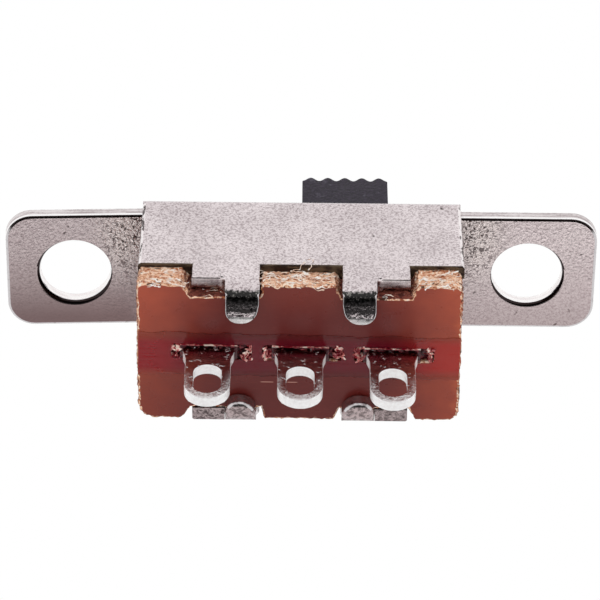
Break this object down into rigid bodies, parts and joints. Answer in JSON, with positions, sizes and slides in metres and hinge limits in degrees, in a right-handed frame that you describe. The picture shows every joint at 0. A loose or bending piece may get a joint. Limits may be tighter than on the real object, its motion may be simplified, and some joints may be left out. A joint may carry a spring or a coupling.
{
  "type": "slide switch",
  "caption": "Miniature open-frame panel slide switch with a folded steel frame, brown insulating wafer, solder lugs and a ribbed black knob.",
  "frame": {"origin": "midway between the two mounting holes, on the knob side of the flanges", "axes": "+Z the way the knob stands, +X along the slide towards the knob's stored position, +Y across the channel"},
  "size_m": [0.0198, 0.0052, 0.0126],
  "materials": {
    "nickel_plated_steel": "bright nickel plate, finely mottled",
    "phenolic_paper": "glossy laminate with rough fibrous cut edges",
    "plated_brass": "bright silver-coloured plate",
    "red_varnish": "glossy translucent dark red",
    "black_plastic": "satin moulded",
    "bronze_strip": "bright spring bronze"
  },
  "bodies": {
    "housing": {"frame": "nickel_plated_steel", "wafer": "phenolic_paper", "terminal_left": "plated_brass", "terminal_common": "plated_brass", "terminal_right": "plated_brass", "sealing_varnish": "red_varnish"},
    "slider": {"slider": "black_plastic", "contact_clip": "bronze_strip"}
  },
  "joints": [
    {"name": "knob_slide", "type": "slide", "parent": "housing", "child": "slider", "axis": [1, 0, 0], "range_m": [-0.00295, 0]}
  ]
}
